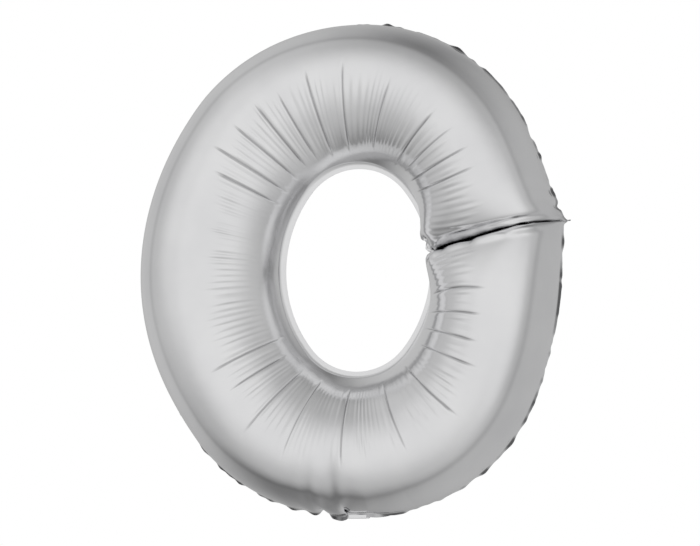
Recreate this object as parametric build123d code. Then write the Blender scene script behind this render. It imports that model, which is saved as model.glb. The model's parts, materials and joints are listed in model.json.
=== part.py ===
"""Foil number balloon: an air-tight oval ring, the digit zero, welded from a front and a back film.

Two ring-shaped films lie back to back. They are heat-sealed to each other round the outside, round the
hole, and along one line across the right limb, the cross weld, so that the gas chamber is a C-shaped
tube. A tail of the same films leaves the bottom of the outer seal. A flat valve of two thin clear films
runs from the tail into the chamber, and the gas presses it shut. The tail folds at the seal's edge.

Millimetres. X runs to the viewer's right, Y to the back and Z up. The origin is at the neck, on the
line that the tail folds about, where a ribbon is tied.
"""

from build123d import *
from math import asin, atan2, cos, degrees, hypot, radians, sin, sqrt
import os

# Overall sizes of the inflated ring, seal margins included
overall_height = 864.0
overall_width = 768.0
tube_width = 236.0  # the inflated tube from seam to seam
tube_depth = 194.0  # and front to back, less than its width because the film has no tension lengthwise
seal_width = 9.0  # the flat welded margin round the outside and round the hole
oval_fullness = 1.6  # a lower value gives squarer shoulders

# Films. The real foil is about 0.04 thick and the real valve film about 0.05, so these stand in for them
film_thickness = 0.6
valve_film_thickness = 0.25
film_clearance = 0.03  # between a valve film and the foil that it lies in

# The cross weld on the right limb
weld_angle = 11.8  # above the horizontal, in degrees, about the middle of the ring
weld_width = 8.0  # the flat welded band
pinch_length = 52.0  # along the tube, from the middle of the weld to where the tube is full again

# Tail and valve
tail_width = 40.0
tail_length = 82.0
valve_width = 30.0
valve_inside = 125.0  # how far the valve reaches into the chamber from the outer seam
valve_in_tail = 46.0  # how far it reaches down the tail from the fold
fold_clearance = 0.3  # between the seal's edge and the tail as it turns
tail_root = 0.3  # from the fold line to the tail's films
tail_tuck = 15.0  # how far above level the stored tail points, in degrees

# The tube's centre line is an oval of four arcs: one on each side, and one at each end
half_tube = tube_width / 2
half_band = half_tube + seal_width
oval_x = overall_width / 2 - half_band
oval_z = overall_height / 2 - half_band
end_radius = oval_z * (oval_x / oval_z) ** oval_fullness
is_circle = abs(oval_x - oval_z) < 0.01
if is_circle:
    side_radius = end_radius
    join_angle = 45.0
else:
    end_rise = oval_z - end_radius
    side_radius = (oval_x**2 + end_rise**2 - end_radius**2) / (2 * (oval_x - end_radius))
    join_angle = degrees(atan2(abs(end_rise), abs(oval_x - side_radius)))  # from a side arc to an end arc
end_centre = oval_z - end_radius  # the top arc's centre above the middle of the ring
side_centre = oval_x - side_radius  # the right arc's centre, right of the middle

# Heights and places that follow
tail_stack = film_thickness + valve_film_thickness + film_clearance  # half of the tail's thickness
turning_room = hypot(tail_root, tail_stack) + fold_clearance
tuck = radians(tail_tuck)
tucked_room = (tail_stack + fold_clearance + film_thickness * sin(tuck)) / cos(tuck)
seal_edge = max(turning_room, tucked_room)  # the seal's lowest edge above the fold line
seam_z = seal_edge + seal_width  # where the films part at the bottom of the ring
centre_z = seam_z + half_tube + oval_z
weld_half = weld_width / 2
weld_arc_angle = weld_angle + degrees(asin(side_centre * sin(radians(weld_angle)) / side_radius))

# The tube's section leans outwards: it rises from the inner seam at a slope and ends upright at the outer.
# Its knots are places across and depths, as shares of half the width and half the depth
section_knots = ((-0.85, 0.31), (-0.59, 0.645), (0.14, 1.0), (0.68, 0.79), (0.93, 0.4))
inner_slope = 62.5
pinch_turns = (90.0, 68.0, 48.0, 31.0, 16.0, 0.0)  # round the rounded end of the tube, down to the weld


def across_tube(pivot, angle):
    """The plane that cuts the tube at an angle about a pivot: its x runs outwards and its y forwards."""
    x, z = pivot
    turn = radians(angle)
    return Plane(
        origin=(x, 0, centre_z + z), x_dir=(cos(turn), 0, sin(turn)), z_dir=(sin(turn), 0, -cos(turn))
    )


def wall_curve(middle, half_width, foot, rise):
    """The tube's curve from foot to foot, so high above its feet at the crest, or straight if it's flat."""
    ends = [(middle - half_width, foot), (middle + half_width, foot)]
    if rise == 0.0:
        return Line(ends[0], ends[1])
    knots = [(middle + across * half_width, foot + depth * rise) for across, depth in section_knots]
    flatness = rise / (tube_depth / 2)
    slopes = [(cos(radians(inner_slope)), sin(radians(inner_slope)) * flatness), (0, -1)]
    return Spline([ends[0]] + knots + [ends[1]], tangents=slopes)


def film_profile(middle, outer_share=1.0, inner_share=1.0):
    """The front film cut across the tube: its curve between two flat margins, all one wall thick.

    The shares say how full the tube is there, outside and inside the wall.
    """
    rise = tube_depth / 2 - film_thickness
    half_inside = half_tube - film_thickness
    edges = [
        wall_curve(middle, half_tube, film_thickness, outer_share * rise),
        wall_curve(middle, half_inside, 0.0, inner_share * rise),
    ]
    for side in (-1, 1):
        edge = middle + side * half_band
        edges.append(Line((middle + side * half_inside, 0), (edge, 0)))
        edges.append(Line((edge, 0), (edge, film_thickness)))
        edges.append(Line((edge, film_thickness), (middle + side * half_tube, film_thickness)))
    return Face(Wire(edges))


def arc_run(pivot, radius, start, end):
    """The front film along one arc of the oval, from one angle about its centre to another."""
    section = across_tube(pivot, start) * film_profile(radius)
    x, z = pivot
    return revolve(section, Axis((x, 0, centre_z + z), (0, -1, 0)), revolution_arc=end - start)


def pinch_section(direction, turn):
    """The pinched film so far round the tube's rounded end, above the weld (1) or below it (-1).

    The section turns from the weld's own line, through the middle of the ring, to square across the tube.
    """
    outer_run = pinch_length - weld_half
    inner_run = outer_run - film_thickness  # the inside reaches the weld a wall later than the outside
    share = 1 - cos(radians(turn))
    run = share * outer_run
    arc_angle = radians(weld_arc_angle) + direction * (weld_half + run) / side_radius
    x = side_centre + side_radius * cos(arc_angle)
    z = side_radius * sin(arc_angle)
    pivot_x = share * side_centre
    outer_share = sin(radians(turn))
    inner_share = sqrt(1 - (1 - max(run - film_thickness, 0.0) / inner_run) ** 2)
    plane = across_tube((pivot_x, 0), degrees(atan2(z, x - pivot_x)))
    return plane * film_profile(hypot(x - pivot_x, z), outer_share, inner_share)


def pinch(direction):
    """The rounded end of the tube, from full depth down to the edge of the cross weld."""
    return loft([pinch_section(direction, turn) for turn in pinch_turns])


def cross_weld():
    """The flat band where the films are welded across the right limb."""
    return loft([pinch_section(1, 0.0), pinch_section(-1, 0.0)], ruled=True)


def valve_channel():
    """The flat space that the valve needs between the two foils, through the seal at the bottom."""
    wide = valve_width + 2 * film_clearance
    deep = 2 * (valve_film_thickness + film_clearance)
    return Pos(0, 0, seam_z) * Box(wide, deep, 4 * seal_width)


def front_film():
    """The front film with its seal margins, the pinch and the flat cross weld."""
    right, left = (side_centre, 0), (-side_centre, 0)
    top, bottom = (0, end_centre), (0, -end_centre)
    pinch_turn = degrees(pinch_length / side_radius)
    pieces = [
        arc_run(right, side_radius, weld_arc_angle + pinch_turn, join_angle),
        arc_run(top, end_radius, join_angle, 180 - join_angle),
        arc_run(left, side_radius, 180 - join_angle, 180 + join_angle),
        arc_run(bottom, end_radius, 180 + join_angle, 360 - join_angle),
        arc_run(right, side_radius, -join_angle, weld_arc_angle - pinch_turn),
        pinch(1),
        pinch(-1),
        cross_weld(),
    ]
    return pieces[0].fuse(*pieces[1:]) - valve_channel()


def sheet(width, low_y, high_y, low_z, high_z):
    """A flat upright sheet in the middle of the ring's width."""
    return Pos(0, (low_y + high_y) / 2, (low_z + high_z) / 2) * Box(width, high_y - low_y, high_z - low_z)


def half_sheet(side, width, thickness, low_z, high_z):
    """A sheet that lies against the middle plane, in front of it (-1) or behind it (1)."""
    low_y, high_y = sorted((0, side * thickness))
    return sheet(width, low_y, high_y, low_z, high_z)


def valve_film(side, low_z, high_z):
    """A length of one of the valve's two clear films."""
    return half_sheet(side, valve_width, valve_film_thickness, low_z, high_z)


def tail_film(side):
    """One side of the tail, hanging straight down, hollowed where the valve lies against it."""
    film = half_sheet(side, tail_width, tail_stack, -tail_root - tail_length, -tail_root)
    hollow_width = valve_width + 2 * film_clearance
    hollow_depth = valve_film_thickness + film_clearance
    return film - half_sheet(side, hollow_width, hollow_depth, -2 * tail_length, tail_length)


def stored(piece):
    """A piece of the tail turned from hanging to its stored place, tucked up behind the ring."""
    return Rot(90 + tail_tuck, 0, 0) * piece


def build():
    front = front_film()
    nodes = {
        "front_film": front,
        "back_film": mirror(front, Plane.XZ),
        "valve_front_film": valve_film(-1, seal_edge, seam_z + valve_inside),
        "valve_back_film": valve_film(1, seal_edge, seam_z + valve_inside),
        "tail_front_film": stored(tail_film(-1)),
        "tail_back_film": stored(tail_film(1)),
        "tail_valve_front_film": stored(valve_film(-1, -tail_root - valve_in_tail, -tail_root)),
        "tail_valve_back_film": stored(valve_film(1, -tail_root - valve_in_tail, -tail_root)),
    }
    os.makedirs("parts", exist_ok=True)
    for name, shape in nodes.items():
        export_step(shape, f"parts/{name}.step")
        print(name, len(shape.solids()), "solid", round(shape.volume), "mm3")


build()
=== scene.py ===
# %% [markdown]
# # A foil number balloon, step by step
# The balloon is the digit zero, welded from two ring-shaped films of silver foil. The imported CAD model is
# the fixed frame: it says how large each piece is and where it stands. Here the real foil is made around
# it. Flat film can't follow a round tube, so it gathers into creases, and those creases are the look.

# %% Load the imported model
import bpy
import json
import numpy as np
from math import asin, atan2, cos, hypot, pi, radians, sin
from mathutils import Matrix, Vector

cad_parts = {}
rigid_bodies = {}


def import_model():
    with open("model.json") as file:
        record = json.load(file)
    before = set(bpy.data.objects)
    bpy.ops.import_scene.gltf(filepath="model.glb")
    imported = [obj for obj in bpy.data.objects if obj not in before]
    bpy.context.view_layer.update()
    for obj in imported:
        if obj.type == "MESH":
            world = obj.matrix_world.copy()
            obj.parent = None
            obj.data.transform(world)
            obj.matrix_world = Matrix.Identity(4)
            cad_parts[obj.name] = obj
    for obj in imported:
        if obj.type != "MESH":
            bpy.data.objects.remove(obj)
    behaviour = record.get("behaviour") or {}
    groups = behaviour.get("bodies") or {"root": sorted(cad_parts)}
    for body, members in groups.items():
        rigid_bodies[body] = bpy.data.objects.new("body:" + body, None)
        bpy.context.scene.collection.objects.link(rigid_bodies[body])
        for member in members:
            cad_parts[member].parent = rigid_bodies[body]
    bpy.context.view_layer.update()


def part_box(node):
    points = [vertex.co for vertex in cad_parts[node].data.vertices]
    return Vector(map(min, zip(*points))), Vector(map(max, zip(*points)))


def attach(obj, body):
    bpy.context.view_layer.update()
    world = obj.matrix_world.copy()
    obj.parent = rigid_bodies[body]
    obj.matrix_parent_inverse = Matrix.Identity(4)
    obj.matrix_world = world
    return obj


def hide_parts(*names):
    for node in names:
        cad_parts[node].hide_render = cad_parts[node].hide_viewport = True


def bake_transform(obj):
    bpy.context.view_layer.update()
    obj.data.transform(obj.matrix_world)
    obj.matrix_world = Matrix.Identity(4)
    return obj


for leftover in list(bpy.data.objects):
    bpy.data.objects.remove(leftover)
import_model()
low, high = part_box("front_film")

# %% [markdown]
# ## The sizes that the foil is cut to
# The overall width and height come from the front film's box. The seal margin, the tube's width and the
# neck, where the tail leaves the seal, are what a maker would read off the cutting pattern. The middle of
# the ring is the middle of that box.

# %% Sizes of the ring
ring_width = float(high[0] - low[0])
ring_height = float(high[2] - low[2])
ring_middle = float(high[2] + low[2]) / 2
seal_margin = 0.009
tube_width = 0.236
half_tube = tube_width / 2
oval_fullness = 1.6
weld_angle = radians(11.8)
neck_half = 0.024
print("ring", round(ring_width, 3), "wide", round(ring_height, 3), "tall, middle at", round(ring_middle, 4))

# %% [markdown]
# ## The camera
# A long lens a little to the right of the ring's axis and a little below its middle keeps the oval
# nearly true while the right limb shows more of its side.

# %% Set the camera
yaw, pitch = radians(15.0), radians(-6.0)
distance = 5.6
seen_width = 1.2236
aim_right, aim_up = -0.0133, -0.0051

right_hand = Vector((cos(yaw), sin(yaw), 0.0))
towards_camera = Vector((sin(yaw) * cos(pitch), -cos(yaw) * cos(pitch), sin(pitch)))
upward = towards_camera.cross(right_hand)
aim = Vector((0.0, 0.0, ring_middle)) + right_hand * aim_right + upward * aim_up
lens = bpy.data.cameras.new("studio_camera")
lens.sensor_width = 36.0
lens.lens = lens.sensor_width * distance / seen_width
lens.clip_end = 100.0
camera = bpy.data.objects.new("studio_camera", lens)
camera.location = aim + towards_camera * distance
camera.rotation_euler = (-towards_camera).to_track_quat("-Z", "Y").to_euler()
bpy.context.scene.collection.objects.link(camera)
bpy.context.scene.camera = camera
bpy.context.scene.view_settings.view_transform = "Standard"
print("lens", round(lens.lens, 1), "mm at", distance, "m, sees", round(seen_width, 3), "m across")

# %% [markdown]
# ## The oval that the tube follows
# The tube's centre line is four arcs: one on each side and one at each end, meeting smoothly. It could
# be one ellipse, but arcs give the squarer shoulders of a printed zero. Each station round the oval has a
# point on the centre line and the outward direction there, starting at the cross weld on the right limb.
# Near the weld that direction swings round to point from the ring's own middle, because the weld does.
# Stations are spaced evenly a little outside the centre line, where most of the film is.

# %% Stations round the oval
oval_x = ring_width / 2 - half_tube - seal_margin
oval_z = ring_height / 2 - half_tube - seal_margin
end_radius = oval_z * (oval_x / oval_z) ** oval_fullness
side_radius = (oval_x**2 + (oval_z - end_radius) ** 2 - end_radius**2) / (2 * (oval_x - end_radius))
side_centre, end_centre = oval_x - side_radius, oval_z - end_radius
join = atan2(oval_z - end_radius, side_radius - oval_x)
weld_start = weld_angle + asin(side_centre * sin(weld_angle) / side_radius)
swing = radians(25)
spacing_offset = 0.045
arcs = [
    (side_centre, 0.0, side_radius, weld_start, join),
    (0.0, end_centre, end_radius, join, pi - join),
    (-side_centre, 0.0, side_radius, pi - join, pi + join),
    (0.0, -end_centre, end_radius, pi + join, 2 * pi - join),
    (side_centre, 0.0, side_radius, 2 * pi - join, 2 * pi + weld_start),
]


def stations(count):
    """Centre points and outward directions at count stations, in the ring's plane."""
    lengths = [(radius + spacing_offset) * (end - start) for _, _, radius, start, end in arcs]
    reached = np.concatenate([[0.0], np.cumsum(lengths)])
    middles, outwards = np.zeros((count, 2)), np.zeros((count, 2))
    for i in range(count):
        run = reached[-1] * i / count
        k = min(int(np.searchsorted(reached, run, side="right")) - 1, 4)
        x, z, radius, start, end = arcs[k]
        angle = start + (end - start) * (run - reached[k]) / lengths[k]
        middle = np.array([x + radius * cos(angle), z + radius * sin(angle)])
        pivot = np.array([x, z])
        if k in (0, 4):
            near = min(abs(angle - weld_start), abs(angle - weld_start - 2 * pi)) / swing
            near = min(near, 1.0)
            pivot = np.array([x * near * near * (3 - 2 * near), 0.0])
        outward = middle - pivot
        middles[i], outwards[i] = middle, outward / hypot(*outward)
    return middles, outwards


print("side arcs", round(side_radius, 3), "m, end arcs", round(end_radius, 3), "m")

# %% [markdown]
# ## The flat pattern
# Each film is cut as a flat ring that is wider than the finished tube, because the film has to climb over
# the tube's back. When the tube is blown up, the seams at the hole keep their length and stay taut, and the
# outside of the ring is drawn in, so it has about a fifth too much length there, which puckers.
# The two films are one grid: column 0 is the seam at the hole, the middle column is the outer seam, the
# columns up to it are the front film, and the ones after it are the back film, on the way home.

# %% Cut the pattern
film_width = 0.3205
extra_left, extra_top = 0.034, 0.010


def film_widths(outwards):
    """The width cut for each station: the left limb is fuller than the rest, and the top a little."""
    leftwards, upwards = np.clip([-outwards[:, 0], outwards[:, 1]], 0, 1)
    return film_width + extra_left * leftwards**2 + extra_top * upwards**2


def across_film(columns):
    """How far each column is from the hole's seam to the outer seam, from 0 to 1."""
    column = np.arange(2 * columns)
    return np.minimum(column, 2 * columns - column) / columns


def flat_pattern(count, columns):
    """Every point's place on the flat film, which starts at the hole's seam and reaches outwards."""
    middles, outwards = stations(count)
    hole_seam = middles - outwards * half_tube
    reach = film_widths(outwards)[:, None] * across_film(columns)[None]
    return hole_seam[:, None] + outwards[:, None] * reach[:, :, None]


def flat_lengths(pattern):
    """The flat distances to the next point round, across, and on the two diagonals."""
    following = np.roll(pattern, -1, 0)
    length = lambda gap: np.sqrt((gap**2).sum(-1)).astype(np.float32)
    return {
        "round": length(following - pattern),
        "across": length(np.roll(pattern, -1, 1) - pattern),
        "rising": length(np.roll(following, -1, 1) - pattern),
        "falling": length(following - np.roll(pattern, -1, 1)),
    }


pattern = flat_pattern(448, 28)
print("pattern cut", np.round(pattern[:, 28].max(0) - pattern[:, 28].min(0), 3), "m between outer seams")

# %% [markdown]
# ## The film before it is let go
# The film starts on a plain swollen tube that narrows to nothing at the cross weld. From there the gas
# and the pattern shape it, so this only has to be near.

# %% The starting tube
start_depth = 0.093
start_bulge = 0.017
rounded_end = 0.05
mean_radius = 0.281


def swollen_tube(count, columns):
    """A plain tube on the centre line, fuller on its outside, that closes to nothing at the weld."""
    middles, outwards = stations(count)
    share = across_film(columns)
    side = np.where(np.arange(2 * columns) <= columns, -1, 1)
    across = -half_tube * np.cos(pi * share) + start_bulge * np.sin(pi * share) ** 2
    depth = side * start_depth * np.sin(pi * share)
    from_weld = np.minimum(np.arange(count), count - np.arange(count)) * (2 * pi * mean_radius / count)
    fullness = np.sqrt(1 - (1 - np.clip(from_weld / rounded_end, 0, 1)) ** 2)
    film = np.zeros((count, 2 * columns, 3), np.float32)
    film[:, :, [0, 2]] = middles[:, None] + outwards[:, None] * across[None, :, None]
    film[:, :, 1] = depth[None] * fullness[:, None]
    return film


def outward_normals(film, unit=True):
    """The film's outward direction at each point, times the area it stands for unless unit is set."""
    round_way = np.roll(film, -1, 0) - np.roll(film, 1, 0)
    across_way = np.roll(film, -1, 1) - np.roll(film, 1, 1)
    normal = np.cross(round_way, across_way)
    size = np.sqrt((normal * normal).sum(-1))
    normal /= (size + 1e-12)[..., None] if unit else size.mean()
    return normal * facing


def gather_weld(film, height):
    """Throw the cross weld into short waves, where its spare length will go."""
    columns = film.shape[1] // 2
    column = np.arange(1, columns)
    wave = height * np.sign(np.sin(6 * pi * column / columns + 0.5)) * np.sin(pi * column / columns) ** 0.5
    for row in (-1, 0, 1):
        film[row, 1:columns, 1] += wave
        film[row, :columns:-1, 1] += wave
    return film


facing = 1.0
if outward_normals(swollen_tube(112, 14))[20, 7, 1] > 0:
    facing = -1.0
print("the front film faces", outward_normals(swollen_tube(112, 14))[20, 7].round(2))

# %% [markdown]
# ## Blowing up the foil
# Blender's Cloth could inflate this, but fine creases need so many points that it takes many minutes.
# The film is a plain grid, so a few lines of array work do the same in seconds. Gas pushes every point
# outwards, then each pair of neighbours is pulled back towards its flat distance. Film hardly stretches
# but buckles freely, so a pair that is too long is corrected fully and one that is too short only a
# little. That difference is what makes the sharp creases.

# %% Springs of the film
diagonal_grip = 0.3


def straighten(film, lengths, odd, lean, squeeze):
    """Correct every second pair of neighbours along the grid's first way. lean is the step sideways."""
    film = np.roll(film, -odd, 0)
    wanted = np.roll(lengths, -odd, 0)[::2]
    if np.ndim(squeeze):
        squeeze = np.roll(squeeze, -odd, 0)[::2]
    first, second = film[0::2], film[1::2]
    if lean > 0:
        second = np.roll(second, -1, 1)
    if lean < 0:
        first = np.roll(first, -1, 1)
    gap = second - first
    length = np.sqrt(np.einsum("...k,...k", gap, gap)) + 1e-12
    error = length - wanted
    grip = diagonal_grip if lean else 1.0
    gap *= (0.5 * np.where(error > 0, grip, squeeze) * error / length)[..., None]
    first, second = first + gap, second - gap
    corrected = np.empty_like(film)
    corrected[0::2] = np.roll(first, 1, 1) if lean < 0 else first
    corrected[1::2] = np.roll(second, 1, 1) if lean > 0 else second
    return np.roll(corrected, odd, 0)


def soften(film, stiffness):
    """The film's own stiffness against sharp bends in the way round."""
    curve = np.roll(film, 1, 0) + np.roll(film, -1, 0) - 2 * film
    bend = np.roll(curve, 1, 0) + np.roll(curve, -1, 0) - 2 * curve
    return film - (stiffness * 0.0625) * bend


# %% [markdown]
# The seam at the hole is taut, so it is held on its oval, except close to the cross weld. The cross weld
# itself is a band where the two films are one. It was flat and longer than the finished tube is wide, so
# it is gathered in short waves. The outer seam is held only at the weld, where it is drawn in to a notch,
# and at the neck, where the tail keeps it flat. The tube's two ends swell against each other at the weld.
# Springs know nothing of contact, so each end is kept on its own side of the plane that the weld lies in.

# %% Seams, weld and gas
weld_notch = 0.024
hole_round, outer_round = 1.035, 2.6
speed_kept = 0.9
corrections = 4
film_room = 0.0006
weld_foot, weld_outward = (row[0] for row in stations(8))
weld_normal = np.array([-weld_outward[1], 0, weld_outward[0]], np.float32)


def off_weld_plane(film):
    """How far each point is above the plane that the cross weld lies in, negative below it."""
    return (film @ weld_normal - weld_foot @ weld_normal[[0, 2]]).astype(np.float32)


def inflate(film, rounds, gas, squeeze, firm_seam, stiffness=0.05):
    """Blow the film up for some rounds.

    gas is the push in a round, and squeeze is how far film resists being pressed together. firm_seam says
    how far the outer seam, which is welded stiff, resists it.
    """
    count, columns = film.shape[0], film.shape[1] // 2
    middles, outwards = stations(count)
    lengths = flat_lengths(flat_pattern(count, columns))
    step = np.arange(count)
    from_weld = (np.minimum(step, count - step) / count).astype(np.float32)
    firm = firm_seam * np.clip((outer_round * from_weld - 0.03) / 0.05, 0, 1)
    squeeze_round = np.full((count, 2 * columns), squeeze, np.float32)
    for column in (columns - 1, columns, columns + 1):
        stiff = 1.0 if column == columns else 0.5
        squeeze_round[:, column] = np.maximum(squeeze, stiff * firm)
    run = hole_round * from_weld
    hole_hold = np.clip((run + 0.004) / 0.016, 0, 1)[:, None]
    hole_place = np.zeros((count, 3), np.float32)
    hole_place[:, [0, 2]] = middles - outwards * half_tube
    outer_hold = 0.5 * np.clip(1 - run / 0.012, 0, 1)[:, None]
    outer_place = np.zeros((count, 3), np.float32)
    outer_place[:, [0, 2]] = middles + outwards * (half_tube - weld_notch)
    rim = middles + outwards * half_tube
    neck = (np.abs(rim[:, 0]) < neck_half) & (rim[:, 1] < 0)
    outer_hold[neck] = 0.5
    outer_place[neck] = np.stack([rim[neck, 0], 0 * rim[neck, 0], rim[neck, 1]], 1)
    share = np.arange(1, columns) / columns
    weld_hold = (0.3 * np.clip((share - 0.72) / 0.15, 0, 1))[:, None].astype(np.float32)
    weld_place = {}
    for row in (-1, 0, 1):
        reach = half_tube * (2 * share[:, None] - 1) - weld_notch * share[:, None]
        line = middles[row] + outwards[row] * reach
        weld_place[row] = np.stack([line[:, 0], 0 * share, line[:, 1]], 1).astype(np.float32)
    side_rows = ((slice(1, count // 8), 1.0), (slice(-(count // 8), None), -1.0))
    speed = np.zeros_like(film)
    for _ in range(rounds):
        before = film
        speed = speed_kept * speed + gas * outward_normals(film, unit=False)
        film = film + speed
        for _ in range(corrections):
            turned = film.swapaxes(0, 1)
            for odd in (0, 1):
                turned = straighten(turned, lengths["across"].T, odd, 0, squeeze)
            film = np.ascontiguousarray(turned.swapaxes(0, 1))
            for odd in (0, 1):
                film = straighten(film, lengths["round"], odd, 0, squeeze_round)
            for odd in (0, 1):
                film = straighten(film, lengths["rising"], odd, 1, squeeze * 0.5)
            for odd in (0, 1):
                film = straighten(film, lengths["falling"], odd, -1, squeeze * 0.5)
            film = soften(film, stiffness)
            film[:, 0] += hole_hold * (hole_place - film[:, 0])
            film[:, columns] += outer_hold * (outer_place - film[:, columns])
            for row in (-1, 0, 1):
                welded = 0.5 * (film[row, 1:columns] + film[row, :columns:-1])
                welded += weld_hold * (weld_place[row] - welded)
                film[row, 1:columns] = welded
                film[row, :columns:-1] = welded
            for rows, way in side_rows:
                clear = way * off_weld_plane(film[rows])
                film[rows] += (way * np.clip(film_room - clear, 0, None))[..., None] * weld_normal
        speed = film - before
    return film


def split_grid(film, ways):
    """A finer grid with a point between every two along the given ways, on a smooth curve."""
    for way in ways:
        halfway = -np.roll(film, 1, way) + 9 * film + 9 * np.roll(film, -1, way) - np.roll(film, -2, way)
        paired = np.stack([film, halfway / 16], way + 1)
        sizes = list(film.shape)
        sizes[way] *= 2
        film = paired.reshape(sizes)
    return film.astype(np.float32)


# %% [markdown]
# The film is blown up on a coarse grid first, which finds the tube's overall shape quickly, and then on
# finer grids, which find smaller folds. Each finer start gets a trace of unevenness, because a perfectly
# even film has no reason to buckle anywhere. Short puckers are started at the outer seam with a shallow
# groove each, at uneven steps of a few degrees, but not at the neck. The seam is stiffer than the film by
# a little, because it is welded. Made much stiffer, it would stand off the tube as a wavy collar.

# %% Blow up the ring
rng = np.random.default_rng(7)
pucker_angles = [a for a in 20 + np.cumsum(rng.uniform(3.6, 8.5, 90)) if a < 366 and abs(a - 270) > 6]


def groove(film, angles, profile):
    """For each point, the depth of the nearest groove, from its distance in metres round the ring."""
    radius = np.hypot(film[:, :, 0], film[:, :, 2])
    angle = np.degrees(np.arctan2(film[:, :, 2], film[:, :, 0]))
    deepest = np.zeros(film.shape[:2])
    for a in angles:
        off = np.radians((angle - a + 180) % 360 - 180) * radius
        deepest = np.maximum(deepest, profile(off))
    return deepest


def between(value, start, end, fade):
    """1 between start and end, fading to 0 over fade on each side."""
    return np.clip(np.minimum((value - start) / fade, (end - value) / fade), 0, 1)


def start_puckers(film, depth, width):
    """Press a short groove into both films at each pucker, across the outer seam."""
    rim = between(across_film(28), 0.84, 1.2, 0.1)
    pucker = groove(film, pucker_angles, lambda off: np.exp(-((off / width) ** 2)))
    return (film - (depth * pucker * rim)[..., None] * outward_normals(film)).astype(np.float32)


film = gather_weld(swollen_tube(112, 14), 0.008)
film += rng.normal(0, 0.0008, film.shape).astype(np.float32)
film = inflate(film, 300, gas=2.0e-4, squeeze=0.02, firm_seam=0.0)
film = split_grid(film, (0, 1))
film += rng.normal(0, 0.0004, film.shape).astype(np.float32)
film = start_puckers(film, 0.002, 0.008)
film = inflate(film, 300, gas=5.0e-5, squeeze=0.02, firm_seam=0.05)
film = split_grid(film, (0,))
film = start_puckers(film, 0.002, 0.005)
film = inflate(film, 120, gas=3.0e-5, squeeze=0.02, firm_seam=0.1)
film = split_grid(film, (0, 0))
outer_seam = film[:, 28]
print("outer seam", np.round(outer_seam.max(0) - outer_seam.min(0), 3), "m")
print("deepest", round(float(np.ptp(film[:, :, 1])), 3), "m, grid", film.shape[:2])

# %% [markdown]
# Heavy crumpling at the two ends of the cross weld is calmed, as the sealing bar would have flattened it.

# %% Calm the weld's ends
tube_run = 1.77


def distance_from_weld(count):
    """Metres along the tube's middle from the cross weld, for each station."""
    step = np.arange(count)
    return np.minimum(step, count - step) / count * tube_run


def calm(film, mask, rounds):
    """Even out the film where the mask is 1, by drawing each point towards its neighbours."""
    for _ in range(rounds):
        mean = np.roll(film, 1, 0) + np.roll(film, -1, 0) + np.roll(film, 1, 1) + np.roll(film, -1, 1)
        film = film + mask[..., None] * (0.25 * mean - film)
    return film


share = across_film(28)[None]
near_weld = distance_from_weld(film.shape[0])[:, None]
outer_end = np.clip(1 - near_weld / 0.045, 0, 1) * np.clip((share - 0.78) / 0.12, 0, 1)
hole_end = np.clip(1 - near_weld / 0.03, 0, 1) * np.clip((0.1 - share) / 0.06, 0, 1)
film = calm(film, np.clip(2 * outer_end + hole_end, 0, 1), 60)
print("calmed", int((outer_end + hole_end > 0).sum()), "points at the weld's ends")

# %% [markdown]
# The outer seam of a real balloon seldom stays in the middle plane. Here it leans back, so from the front
# the tube turns smoothly out of sight and only some ruffles of the margin peep out behind it. At the neck
# the seam stays where it is, because the tail starts there.

# %% Lean the outer seam back
seam_lean = 0.018
from_neck = np.where(film[:, 28, 2] < 0, np.abs(film[:, 28, 0]), 1.0)
lean_back = seam_lean * np.clip((from_neck - neck_half) / 0.08, 0, 1)
rim_share = np.clip((share - 0.72) / 0.28, 0, 1)
film[:, :, 1] += lean_back[:, None] * rim_share * rim_share * (3 - 2 * rim_share)
print("outer seam is", round(float(film[:, 28, 1].mean()) * 1000, 1), "mm behind the middle plane")

# %% [markdown]
# Long creases run from near the hole to just past the tube's back, where the film has most to lose in
# length. They are sharp and straight, because thin film folds on a line. Between them and along the left
# limb lie fine, even ripples. Both could be left to the springs, but those make them ragged, so they are
# pressed into the finished shape: a crease as a narrow valley, the ripples as a wave that fades out. The
# creases on the back are at about the mirrored angles, each a few degrees off, as on a real one.

# %% Long creases
front_creases = [45.5, 51.7, 58.3, 65, 80.3, 93.8, 103.9, 113.2, 120.5, 129, 137.5, 144.6]
front_creases += [217, 225.6, 237.7, 250.4, 267.7, 286, 302, 316, 323.7, 332, 341]
back_creases = [(180 - a + 4 * sin(a)) % 360 for a in front_creases]
crease_depth = 0.0036
crease_half_width = 0.0016
shoulder_half_width = 0.007


def knotted(count, knots):
    """An uneven wave round the ring, from -1 to 1, with this many knots in one turn."""
    values = rng.uniform(-1, 1, knots)
    place = np.arange(count) / count * knots
    before = place.astype(int)
    mix = place - before
    mix = mix * mix * (3 - 2 * mix)
    return values[before % knots] * (1 - mix) + values[(before + 1) % knots] * mix


def band_end(count):
    """How far across the creased band reaches: past the tube's back, but short of it on the left limb."""
    middles, _ = stations(count)
    return 0.42 + 0.14 * np.abs(middles[:, 1]) / np.abs(middles[:, 1]).max()


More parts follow.
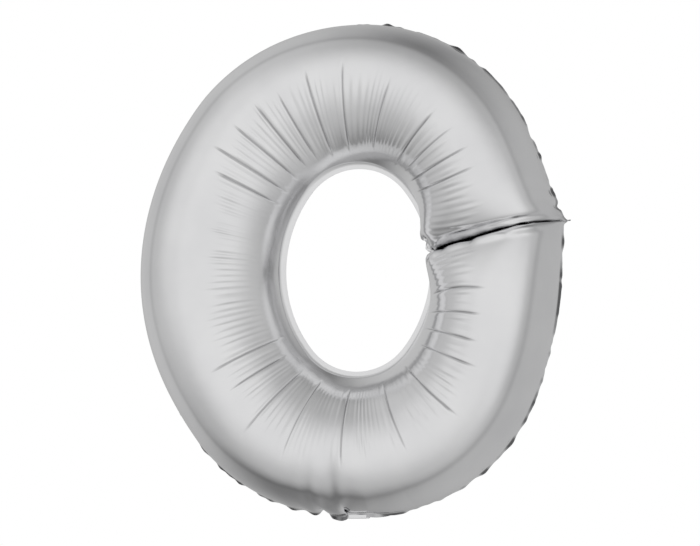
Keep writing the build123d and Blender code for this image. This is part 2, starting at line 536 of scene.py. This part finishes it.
def crease_lines(film, angles, share):
    """How deep the long creases are at each point. Each lies straight across, with its own ends."""
    count = film.shape[0]
    middles, _ = stations(count)
    station_angle = np.unwrap(np.arctan2(middles[:, 1], middles[:, 0]))
    spacing = np.sqrt(((np.roll(film, -1, 0) - np.roll(film, 1, 0)) ** 2).sum(-1)) / 2
    row = np.arange(count)[:, None]
    ends = band_end(count)
    depth = np.zeros(film.shape[:2])
    for a in angles:
        turn = station_angle[0] + (radians(a) - station_angle[0]) % (2 * pi)
        at = np.interp(turn, station_angle, np.arange(count))
        start = rng.uniform(0.10, 0.14)
        end = ends[int(at) % count] + rng.uniform(-0.02, 0.07)
        lean = rng.uniform(-6, 6) * (share - 0.3)
        off = ((row - at - lean + count / 2) % count - count / 2) * spacing
        shoulder = np.exp(-((off / shoulder_half_width) ** 2))
        valley = np.exp(-np.abs(off) / crease_half_width) - 0.25 * shoulder
        depth += rng.uniform(0.75, 1.15) * valley * between(share, start, end, 0.06)
    return depth


print(len(front_creases), "long creases a side,", round(crease_depth * 1000, 1), "mm deep")

# %% Fine ripples
ripple_height = 0.00042
ripple_count = 165


def fine_ripples(film, share):
    """Even ripples about 8 mm apart near the hole, strongest where the band ends, with ragged ends."""
    count = film.shape[0]
    turns = np.cumsum(1 + 0.35 * knotted(count, 60)) / count * ripple_count
    end = (band_end(count) + 0.03 * knotted(count, 160) + 0.02 * knotted(count, 300))[:, None]
    fade = between(share, 0.14, end, 0.05) * (0.6 + 0.9 * between(share, end - 0.17, end, 0.06))
    strength = 0.65 + 0.35 * knotted(count, 90) + 0.35 * knotted(count, 400)
    return np.cos(2 * pi * turns[:, None]) * strength[:, None] * fade


print(ripple_count, "ripples round the ring")

# %% Press in the creases and ripples
column = np.arange(56)[None]
film_share = across_film(28)[None]
front_share = np.where(column <= 28, film_share, 2.0)
back_share = np.where(column > 28, film_share, 2.0)
clear_of_weld = np.clip((near_weld - 0.03) / 0.05, 0, 1)
relief = np.zeros(film.shape[:2])
# Painted shade: how far the foil's colour is darkened along each long crease is kept beside the relief.
painted_fold_shade = np.zeros(film.shape[:2])
for angles, side_share in ((front_creases, front_share), (back_creases, back_share)):
    lines = crease_lines(film, angles, side_share)
    painted_fold_shade = np.maximum(painted_fold_shade, np.clip(lines, 0, 1) ** 1.5)
    relief -= crease_depth * lines
    relief += ripple_height * fine_ripples(film, side_share) * clear_of_weld
print("deepest crease", round(float(-relief.min()) * 1000, 2), "mm")

# %% [markdown]
# At the cross weld the film below it rolls up into a lip with a few breaks in it, and the film above it is
# pressed in. Where the tube's two ends meet, hardly any light gets in, apart from glints on the crumpled
# edge. Folds could be left dark by the lighting alone, but thin film in a soft room never looks dark
# enough, so shade is painted into them: how deep each point is in a fold, and the weld's dark gap with
# painted glints along it, are kept for the finish to darken its colour by.

# %% Roll the weld's lip
lip_height, dip_depth = 0.0060, 0.0040
lip_breaks = (0.24, 0.42, 0.64)


def weld_sides(film):
    """How far each point near the weld is below its plane and above it, and 1 m everywhere else."""
    count = film.shape[0]
    row = np.arange(count)[:, None]
    from_plane = off_weld_plane(film)
    near_rows = np.minimum(row, count - row) < count / 9
    below = np.where(near_rows & (row > count / 2), -from_plane, 1.0)
    above = np.where(near_rows & (row < count / 2), from_plane, 1.0)
    return below, above


def painted_gap_shade(below, above):
    """Painted shade where the tube's two ends meet, broken by painted glints along the gap."""
    row = np.arange(below.shape[0])[:, None]
    meeting = np.exp(-((np.minimum(above, below) / 0.0030) ** 2)) * between(film_share, 0.02, 0.97, 0.04)
    return meeting * (0.62 + 0.38 * np.sin(film_share * 71 + 2 * np.sin(film_share * 23 + row * 0.05)))


below, above = weld_sides(film)
lip = np.exp(-(((below - 0.011) / 0.006) ** 2)) * between(film_share, 0.06, 0.84, 0.08)
for place in lip_breaks:
    lip *= 1 - 0.8 * np.exp(-(((film_share - place) / 0.03) ** 2))
dip = np.exp(-(((above - 0.010) / 0.006) ** 2)) * between(film_share, 0.25, 0.9, 0.1)
relief += lip_height * lip - dip_depth * dip
# Painted shade: the weld's dark gap, with its painted glints, joins the crease shade that darkens the
# colour.
painted_fold_shade = np.maximum(painted_fold_shade, painted_gap_shade(below, above))
film = film + relief[..., None] * outward_normals(film)
print("relief from", np.round(relief.min() * 1000, 1), "to", np.round(relief.max() * 1000, 1), "mm")

# %% [markdown]
# ## The seal margins and the two films
# Beyond each seam the two films are pressed together in a flat margin. The margin round the hole lies
# smooth and taut. The outer one has the same spare length as the seam it follows, so it ruffles, and
# mostly lies over towards the back. Each margin is grown outwards from its seam, the outer one at a
# tilt that changes as it goes round, in small uneven lobes. At the neck the tail holds it flat.

# %% Finer grid with margins
panel_columns = 44
margin_steps = 3
hole_waviness = 0.0003


def resample_across(half, wanted):
    """The same film on another number of columns, on smooth curves through the old ones."""
    old = half.shape[1] - 1
    padded = np.concatenate([2 * half[:, :1] - half[:, 1:2], half, 2 * half[:, -1:] - half[:, -2:-1]], 1)
    place = np.linspace(0, old, wanted + 1)
    at = np.minimum(place.astype(int), old - 1)
    t = (place - at)[None, :, None]
    p0, p1, p2, p3 = (padded[:, at + k] for k in range(4))
    curve = 2 * p1 + (p2 - p0) * t + (2 * p0 - 5 * p1 + 4 * p2 - p3) * t**2
    return 0.5 * (curve + (3 * p1 - p0 - 3 * p2 + p3) * t**3)


def unit(vectors):
    """The same directions, each one long."""
    return vectors / (np.sqrt((vectors * vectors).sum(-1, keepdims=True)) + 1e-12)


count, columns = film.shape[0], film.shape[1] // 2
middles, outwards = stations(count)
outward = np.zeros((count, 3))
outward[:, [0, 2]] = outwards
backward = np.array([0.0, 1.0, 0.0])
steps = np.arange(1, margin_steps + 1) / margin_steps
free = np.clip((from_neck - neck_half) / 0.03, 0, 1)
lobes = 0.7 * knotted(count, 130) + 0.3 * knotted(count, 260)
tilt = (radians(72) + radians(26) * lobes) * free
margin_way = outward * np.cos(tilt)[:, None] + backward * np.sin(tilt)[:, None]
taper = 0.45 + 0.55 * np.clip(distance_from_weld(count) / 0.03, 0, 1)
reach = (seal_margin * taper)[:, None, None] * steps[None, :, None]
outer_margin = film[:, columns, None] + margin_way[:, None] * reach
hole_lean = unit(2 * film[:, 0] - film[:, 1] - film[:, -1])
hole_way = unit(0.2 * hole_lean - outward)
hole_margin = film[:, 0, None] + hole_way[:, None] * (seal_margin * steps[::-1])[None, :, None]
hole_margin[:, :, 1] += (hole_waviness * knotted(count, 70))[:, None] * steps[::-1][None]
print("margins of", round(seal_margin * 1000, 1), "mm in", margin_steps, "steps at", count, "stations")

# %% [markdown]
# Each film becomes its own mesh: hole margin, tube, outer margin. A trace of room between the two keeps
# them from lying in the very same place along the margins and the weld. The margins get their own
# finish, because the hot sealing bar leaves them duller than the film, and so does a narrow band along the
# weld. The pattern's own coordinates are kept as the mesh's UV, so the finish can follow the film however
# it is folded. A mark on each point says how much shade is painted into its colour there.

# %% Grids into meshes
film_gap = 0.00015


def grid_normals(points, closed):
    """Normals of an open or closed grid, in the turning sense of its rows and columns."""
    if closed:
        round_way = np.roll(points, -1, 0) - np.roll(points, 1, 0)
    else:
        round_way = np.gradient(points, axis=0)
    across_way = np.gradient(points, axis=1)
    return unit(np.cross(round_way, across_way))


def grid_mesh(name, points, closed, flip, pattern_places):
    """A mesh of quads on a grid of points, with the flat pattern as its UV."""
    rows, across = points.shape[:2]
    number = np.arange(rows * across).reshape(rows, across)
    following = np.roll(number, -1, 0) if closed else number[1:]
    number = number if closed else number[:-1]
    corners = [number[:, :-1], following[:, :-1], following[:, 1:], number[:, 1:]]
    quads = np.stack(corners, -1).reshape(-1, 4)
    if flip:
        quads = quads[:, ::-1]
    mesh = bpy.data.meshes.new(name)
    mesh.from_pydata(points.reshape(-1, 3).tolist(), [], quads.tolist())
    layer = mesh.uv_layers.new(name="pattern")
    points_used = np.zeros(len(mesh.loops), np.int32)
    mesh.loops.foreach_get("vertex_index", points_used)
    layer.data.foreach_set("uv", pattern_places.reshape(-1, 2)[points_used].astype(np.float32).ravel())
    mesh.polygons.foreach_set("use_smooth", np.ones(len(mesh.polygons), bool))
    piece = bpy.data.objects.new(name, mesh)
    bpy.context.scene.collection.objects.link(piece)
    return piece


def one_side(grid, side):
    """The front (-1) or back (1) film's columns of a grid, from the hole's seam to the outer seam."""
    if side < 0:
        return grid[:, : columns + 1]
    return np.concatenate([grid[:, :1], grid[:, :columns - 1:-1]], 1)


print("the two films lie", round(film_gap * 2000, 2), "mm apart where they are welded")

# %% Make the two ring films
weld_band = 12


def pattern_places():
    """Every point's place on the cut film, from the hole margin's edge to the outer margin's."""
    share = np.concatenate([0 * steps, np.linspace(0, 1, panel_columns + 1), 1 + 0 * steps])
    extra = np.concatenate([-steps[::-1], np.zeros(panel_columns + 1), steps]) * seal_margin
    reach = film_widths(outwards)[:, None] * share[None] + extra[None]
    return (middles - outwards * half_tube)[:, None] + outwards[:, None] * reach[:, :, None]


def mark_finish(mesh, across):
    """Give the margins and a band along the weld the second finish."""
    face_row, face_column = np.divmod(np.arange(len(mesh.polygons)), across - 1)
    sealed = (face_column < margin_steps) | (face_column >= margin_steps + panel_columns)
    sealed |= np.minimum(face_row, count - 1 - face_row) < weld_band
    mesh.polygons.foreach_set("material_index", sealed.astype(np.int32))


def keep_painted_shade(mesh, side, shape):
    """Keep the shade painted at each point: in the creases, in the weld's gap and on the lobes of the
    margin.
    """
    inside = resample_across(one_side(painted_fold_shade, side)[:, :, None], panel_columns)[:, :, 0]
    shade_marks = np.zeros(shape, np.float32)
    shade_marks[:, margin_steps : margin_steps + panel_columns + 1] = np.clip(inside, 0, 1)
    # Painted shade on the outer margin, darker on some of its lobes, for the dark reflections in its
    # ruffles.
    shade_marks[:, margin_steps + panel_columns + 1 :] = np.clip(0.3 - 1.6 * lobes, 0, 0.9)[:, None]
    # The painted shade goes on the mesh as the point attribute that the finish reads.
    mesh.attributes.new("crease", "FLOAT", "POINT").data.foreach_set("value", shade_marks.ravel())


def ring_film(name, side):
    """The whole front (-1) or back (1) film, with both margins."""
    body = resample_across(one_side(film, side).astype(float), panel_columns)
    points = np.concatenate([hole_margin, body, outer_margin], 1)
    normal = grid_normals(points, closed=True)
    if normal[count // 4, points.shape[1] // 2, 1] * side < 0:
        normal = -normal
    points = points + normal * film_gap
    points[:, :, 2] += ring_middle
    piece = grid_mesh(name, points, True, side > 0, flat)
    mark_finish(piece.data, points.shape[1])
    keep_painted_shade(piece.data, side, points.shape[:2])
    return piece


flat = pattern_places()
front_foil = ring_film("front_foil", -1)
back_foil = ring_film("back_foil", 1)
for piece, node in ((front_foil, "front_film"), (back_foil, "back_film")):
    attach(piece, "ring")
    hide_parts(node)

# %% [markdown]
# ## The tail and its valve
# The tail is a strip of the same two foils, left joined to the outer seal at the bottom of the ring. It
# is welded along its two long edges and open at its end, where the gas goes in. A flat tube of two thin
# clear films, the valve, runs up through it into the ring. All four films follow one line: down from the
# seal, round the fold, and up behind the ring, where the tail is tucked away. They are bent in code,
# because each must keep its length and lie inside the next.

# %% The line that the tail follows
_, tail_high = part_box("tail_back_film")
_, valve_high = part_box("valve_back_film")
_, tail_valve_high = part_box("tail_valve_back_film")
tuck = radians(15.0)
away = np.array([cos(tuck), sin(tuck)])
fold_start = 0.0016
tail_root = 0.0003
tail_run = hypot(float(tail_high[1]), float(tail_high[2])) - tail_root
tail_half = float(tail_high[0])
tail_top = 0.0065
valve_half = float(valve_high[0])
valve_top = float(valve_high[2])
valve_run = hypot(float(tail_valve_high[1]), float(tail_valve_high[2])) - tail_root


def tail_line(top, run, count):
    """Places, sideways directions and lengths along a strip, from above the fold to its end, in y and z."""
    down = np.linspace(top, fold_start, max(4, int(count * top / (top + run))))
    bend = np.linspace(0, 1, 12)[1:]
    out = np.linspace(fold_start, run, count)[1:]
    straight = np.stack([0 * down, down], 1)
    corner = (1 - bend[:, None]) ** 2 * np.array([0, fold_start]) + bend[:, None] ** 2 * fold_start * away
    tucked = out[:, None] * away
    line = np.concatenate([straight, corner, tucked])
    heading = unit(np.gradient(line, axis=0))
    travelled = np.concatenate([[0], np.cumsum(np.hypot(*np.diff(line, axis=0).T))])
    return line, np.stack([heading[:, 1], -heading[:, 0]], 1), travelled


print("tail", round(tail_run * 1000, 1), "mm past the fold, valve", round(valve_run * 1000, 1), "mm")

# %% Make the strips
def strip(name, side, half_width, top, run, count, gap):
    """One film of the tail or the valve. gap gives its distance from the middle line, in metres."""
    line, sideways, travelled = tail_line(top, run, count)
    across = np.linspace(-1, 1, 25)
    lift = gap(across[None, :], (travelled - top)[:, None])
    points = np.zeros((len(line), len(across), 3))
    points[:, :, 0] = half_width * across[None]
    points[:, :, 1:] = line[:, None] + sideways[:, None] * (side * lift)[..., None]
    flat_places = np.stack(np.broadcast_arrays(half_width * across[None], travelled[:, None]), -1)
    piece = grid_mesh(name, points, False, side < 0, flat_places)
    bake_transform(piece)
    return piece


def foil_gap(across, run):
    """Welded edges lie together; the middle stands off for the valve and opens at the end."""
    middle = np.clip((0.86 - np.abs(across)) / 0.2, 0, 1)
    middle = middle * middle * (3 - 2 * middle)
    past_fold = np.clip(run / 0.02, 0, 1)
    mouth = np.clip((run - tail_run + 0.02) / 0.02, 0, 1)
    pleats = 0.00012 * np.sin(across * 9 + 0.7) * past_fold
    return 0.00008 + middle * (0.00016 + 0.0004 * past_fold + 0.0008 * mouth**2 + pleats)


def valve_gap(across, run):
    """The valve lies nearly shut, with slight waves where it leaves the neck."""
    middle = np.clip((0.9 - np.abs(across)) / 0.25, 0, 1)
    return 0.00002 + middle * 0.00003 * (1 + np.sin(run * 160) * np.clip(run / 0.01, 0, 1))


tail_front = strip("tail_front_foil", -1, tail_half, tail_top, tail_run, 60, foil_gap)
tail_back = strip("tail_back_foil", 1, tail_half, tail_top, tail_run, 60, foil_gap)
valve_front = strip("valve_front_sheet", -1, valve_half, valve_top, valve_run, 40, valve_gap)
valve_back = strip("valve_back_sheet", 1, valve_half, valve_top, valve_run, 40, valve_gap)
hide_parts("tail_front_film")
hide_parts("tail_back_film")
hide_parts("valve_front_film", "tail_valve_front_film")
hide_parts("valve_back_film", "tail_valve_back_film")
for piece in (tail_front, tail_back):
    across = np.arange(len(piece.data.polygons)) % 24
    sealed = (across < 3) | (across > 20)
    piece.data.polygons.foreach_set("material_index", sealed.astype(np.int32))
print("strips", [piece.name for piece in (tail_front, tail_back, valve_front, valve_back)])

# %% [markdown]
# ## The silver finish
# The foil is nylon film with a vapour-thin coat of aluminium, so it is a metal to the eye. It isn't quite
# a mirror: the film is rolled, and its skin scatters light a little, more along one way than the other.
# The look comes from a metallic shader with low roughness, a faint uneven haze where it was handled, a
# very fine skin texture, and soft dimples about a centimetre wide that make reflections swim. Deep in a
# crease two walls of film face each other and swallow the light; that shade is painted into the metal's
# colour by the marks kept on the mesh, which also paint shade into the weld's gap and the margin's lobes.
# The seal margins were under a ribbed hot bar, so they are duller, with fine ribs.

# %% Foil materials
def add(nodes, kind, **settings):
    """Add a shader node and set its inputs by name."""
    node = nodes.new(kind)
    for key, value in settings.items():
        node.inputs[key.replace("_", " ")].default_value = value
    return node


def foil_material(name, haze, ribs):
    """Metallised film. haze is its plain roughness, and ribs the height of the sealing bar's ribs."""
    material = bpy.data.materials.new(name)
    material.use_nodes = True
    nodes, links = material.node_tree.nodes, material.node_tree.links
    shader = nodes["Principled BSDF"]
    shader.inputs["Metallic"].default_value = 1.0
    shader.inputs["IOR"].default_value = 1.5
    place = nodes.new("ShaderNodeTexCoord")
    handled = add(nodes, "ShaderNodeTexNoise", Scale=9.0, Detail=3.0, Roughness=0.55)
    links.new(place.outputs["Object"], handled.inputs["Vector"])
    haze_range = add(nodes, "ShaderNodeMapRange", From_Min=0.3, From_Max=0.7)
    haze_range.inputs["To Min"].default_value = haze - 0.025
    haze_range.inputs["To Max"].default_value = haze + 0.035
    links.new(handled.outputs["Fac"], haze_range.inputs["Value"])
    links.new(haze_range.outputs["Result"], shader.inputs["Roughness"])
    tint = nodes.new("ShaderNodeValToRGB")
    tint.color_ramp.elements[0].color = (0.80, 0.80, 0.81, 1)
    tint.color_ramp.elements[1].color = (0.86, 0.86, 0.865, 1)
    tint.color_ramp.elements[0].position = 0.3
    tint.color_ramp.elements[1].position = 0.7
    links.new(handled.outputs["Fac"], tint.inputs["Fac"])
    # Painted shade: the colour is mixed towards near black by the shade marks kept on the mesh.
    crease = nodes.new("ShaderNodeAttribute")
    crease.attribute_name = "crease"
    shaded = nodes.new("ShaderNodeMix")
    shaded.data_type = "RGBA"
    shaded.inputs["B"].default_value = (0.12, 0.12, 0.125, 1)
    links.new(crease.outputs["Fac"], shaded.inputs["Factor"])
    links.new(tint.outputs["Color"], shaded.inputs["A"])
    links.new(shaded.outputs["Result"], shader.inputs["Base Color"])
    dimples = add(nodes, "ShaderNodeTexNoise", Scale=60.0, Detail=1.0)
    skin = add(nodes, "ShaderNodeTexNoise", Scale=900.0, Detail=2.0)
    links.new(place.outputs["Object"], dimples.inputs["Vector"])
    links.new(place.outputs["UV"], skin.inputs["Vector"])
    dimple_bump = add(nodes, "ShaderNodeBump", Strength=1.0, Distance=0.00012)
    skin_bump = add(nodes, "ShaderNodeBump", Strength=1.0, Distance=0.000004)
    links.new(dimples.outputs["Fac"], dimple_bump.inputs["Height"])
    links.new(skin.outputs["Fac"], skin_bump.inputs["Height"])
    links.new(dimple_bump.outputs["Normal"], skin_bump.inputs["Normal"])
    last = skin_bump
    if ribs:
        pressed = add(nodes, "ShaderNodeTexWave", Scale=140.0, Distortion=0.4)
        pressed.bands_direction = "DIAGONAL"
        links.new(place.outputs["UV"], pressed.inputs["Vector"])
        rib_bump = add(nodes, "ShaderNodeBump", Strength=1.0, Distance=ribs)
        links.new(pressed.outputs["Fac"], rib_bump.inputs["Height"])
        links.new(skin_bump.outputs["Normal"], rib_bump.inputs["Normal"])
        last = rib_bump
    links.new(last.outputs["Normal"], shader.inputs["Normal"])
    return material


silver = foil_material("silver_foil", 0.12, 0.0)
sealed_silver = foil_material("sealed_silver_foil", 0.20, 0.00005)
for piece in (front_foil, back_foil, tail_front, tail_back):
    piece.data.materials.append(silver)
    piece.data.materials.append(sealed_silver)
print("foil finishes", [finish.name for finish in front_foil.data.materials])

# %% [markdown]
# The valve is thin polyethylene, clear but milky where it is doubled, with a soft shine. It is mostly
# hidden, and shows only down the tail's open end. A plain see-through plastic with a streaky haze does.

# %% Valve material
def valve_material():
    """Clear film with a streaky, milky haze."""
    material = bpy.data.materials.new("milky_valve_film")
    material.use_nodes = True
    nodes, links = material.node_tree.nodes, material.node_tree.links
    shader = nodes["Principled BSDF"]
    shader.inputs["Alpha"].default_value = 0.6
    shader.inputs["IOR"].default_value = 1.51
    place = nodes.new("ShaderNodeTexCoord")
    streaks = add(nodes, "ShaderNodeTexNoise", Scale=120.0, Detail=2.0)
    stretch = nodes.new("ShaderNodeMapping")
    stretch.inputs["Scale"].default_value = (1.0, 0.15, 1.0)
    links.new(place.outputs["UV"], stretch.inputs["Vector"])
    links.new(stretch.outputs["Vector"], streaks.inputs["Vector"])
    tint = nodes.new("ShaderNodeValToRGB")
    tint.color_ramp.elements[0].color = (0.82, 0.84, 0.86, 1)
    tint.color_ramp.elements[1].color = (0.90, 0.92, 0.94, 1)
    links.new(streaks.outputs["Fac"], tint.inputs["Fac"])
    links.new(tint.outputs["Color"], shader.inputs["Base Color"])
    haze = add(nodes, "ShaderNodeMapRange", To_Min=0.22, To_Max=0.38)
    links.new(streaks.outputs["Fac"], haze.inputs["Value"])
    links.new(haze.outputs["Result"], shader.inputs["Roughness"])
    return material


clear_film = valve_material()
for piece in (valve_front, valve_back):
    piece.data.materials.append(clear_film)
print("valve film on", [piece.name for piece in (valve_front, valve_back)])

# %% [markdown]
# ## Studio: room, floor and lamps
# A foil balloon is a mirror, so what it looks like is mostly the room that it is in. Real lamps in front of
# it would show as hard-edged shapes. Here the room itself is made of a plain base brightness and four
# very broad soft glows: low and high in front, one to the left and a little behind, and one low at the
# right. A narrow dim gap runs round the room beside the balloon, between the glows in front and the wall
# behind, and it draws the thin dark line along the steep inner wall. The eye sees plain white behind.

# %% Room
def room_world(glows, base):
    """A white backdrop to the eye, and a room of soft glows in the mirror.

    Each glow is a direction, how many degrees it reaches from there, and a brightness.
    """
    world = bpy.data.worlds.new("studio_room")
    world.use_nodes = True
    nodes, links = world.node_tree.nodes, world.node_tree.links
    place = nodes.new("ShaderNodeTexCoord")
    total = None
    for direction, reach, strength in glows:
        nearness = nodes.new("ShaderNodeVectorMath")
        nearness.operation = "DOT_PRODUCT"
        nearness.inputs[1].default_value = Vector(direction).normalized()
        links.new(place.outputs["Generated"], nearness.inputs[0])
        glow = nodes.new("ShaderNodeMapRange")
        glow.interpolation_type = "SMOOTHSTEP"
        glow.inputs["From Min"].default_value = cos(radians(reach))
        glow.inputs["From Max"].default_value = cos(radians(reach * 0.35))
        glow.inputs["To Max"].default_value = strength
        links.new(nearness.outputs["Value"], glow.inputs["Value"])
        plus = nodes.new("ShaderNodeMath")
        plus.operation = "ADD"
        plus.inputs[1].default_value = base
        if total:
            links.new(total.outputs[0], plus.inputs[1])
        links.new(glow.outputs["Result"], plus.inputs[0])
        total = plus
    sideways = nodes.new("ShaderNodeSeparateXYZ")
    links.new(place.outputs["Generated"], sideways.inputs["Vector"])
    off_plane = nodes.new("ShaderNodeMath")
    off_plane.operation = "ABSOLUTE"
    links.new(sideways.outputs["Y"], off_plane.inputs[0])
    gap = nodes.new("ShaderNodeMapRange")
    gap.interpolation_type = "SMOOTHSTEP"
    gap.inputs["From Min"].default_value = 0.0
    gap.inputs["From Max"].default_value = 0.2
    gap.inputs["To Min"].default_value = 0.86
    links.new(off_plane.outputs[0], gap.inputs["Value"])
    dimmed = nodes.new("ShaderNodeMath")
    dimmed.operation = "MULTIPLY"
    links.new(total.outputs[0], dimmed.inputs[0])
    links.new(gap.outputs["Result"], dimmed.inputs[1])
    room = nodes["Background"]
    links.new(dimmed.outputs[0], room.inputs["Color"])
    backdrop = nodes.new("ShaderNodeBackground")
    backdrop.inputs["Color"].default_value = (1.0, 1.0, 1.0, 1.0)
    ray = nodes.new("ShaderNodeLightPath")
    choice = nodes.new("ShaderNodeMixShader")
    links.new(ray.outputs["Is Camera Ray"], choice.inputs["Fac"])
    links.new(room.outputs["Background"], choice.inputs[1])
    links.new(backdrop.outputs["Background"], choice.inputs[2])
    links.new(choice.outputs["Shader"], nodes["World Output"].inputs["Surface"])
    bpy.context.scene.world = world


low_front = ((-0.02, -0.97, -0.25), 80, 0.36)
high_front = ((0.18, -0.89, 0.43), 80, 0.27)
left_glow = ((-0.90, 0.25, 0.37), 76, 0.372)
right_glow = ((0.82, 0.51, -0.27), 96, 0.301)
glows = [low_front, high_front, left_glow, right_glow]
room_world(glows, 0.205)
print("room with", len(glows), "glows")

# %% [markdown]
# The floor is a wide pale disc well below the balloon, so that the tail can hang. It shines a little by
# itself, so that it stays pale far out, where the two soft lamps don't reach. Neither the floor nor the
# lamps are mirrored in the foil as shapes.

# %% Floor and lamps
bpy.ops.mesh.primitive_circle_add(vertices=96, radius=9.0, fill_type="NGON", location=(0, 0, -0.5))
floor = bpy.context.object
floor.name = "studio_floor"
floor.visible_glossy = False
pale = bpy.data.materials.new("pale_floor")
pale.use_nodes = True
floor_shader = pale.node_tree.nodes["Principled BSDF"]
floor_shader.inputs["Base Color"].default_value = (0.86, 0.86, 0.86, 1)
floor_shader.inputs["Roughness"].default_value = 0.7
floor_shader.inputs["Emission Color"].default_value = (1.0, 1.0, 1.0, 1.0)
floor_shader.inputs["Emission Strength"].default_value = 0.32
floor.data.materials.append(pale)


def soft_lamp(name, place, size, watts):
    """A broad lamp that faces the ring's middle."""
    light = bpy.data.lights.new(name, "AREA")
    light.shape = "RECTANGLE"
    light.size, light.size_y = size
    light.energy = watts
    lamp = bpy.data.objects.new(name, light)
    lamp.location = place
    lamp.rotation_euler = (Vector((0, 0, ring_middle)) - Vector(place)).to_track_quat("-Z", "Y").to_euler()
    lamp.visible_glossy = False
    bpy.context.scene.collection.objects.link(lamp)


soft_lamp("left_lamp", (-3.0, -2.6, 3.2), (2.4, 2.4), 260.0)
soft_lamp("right_lamp", (3.2, 1.4, 3.4), (2.4, 2.4), 260.0)
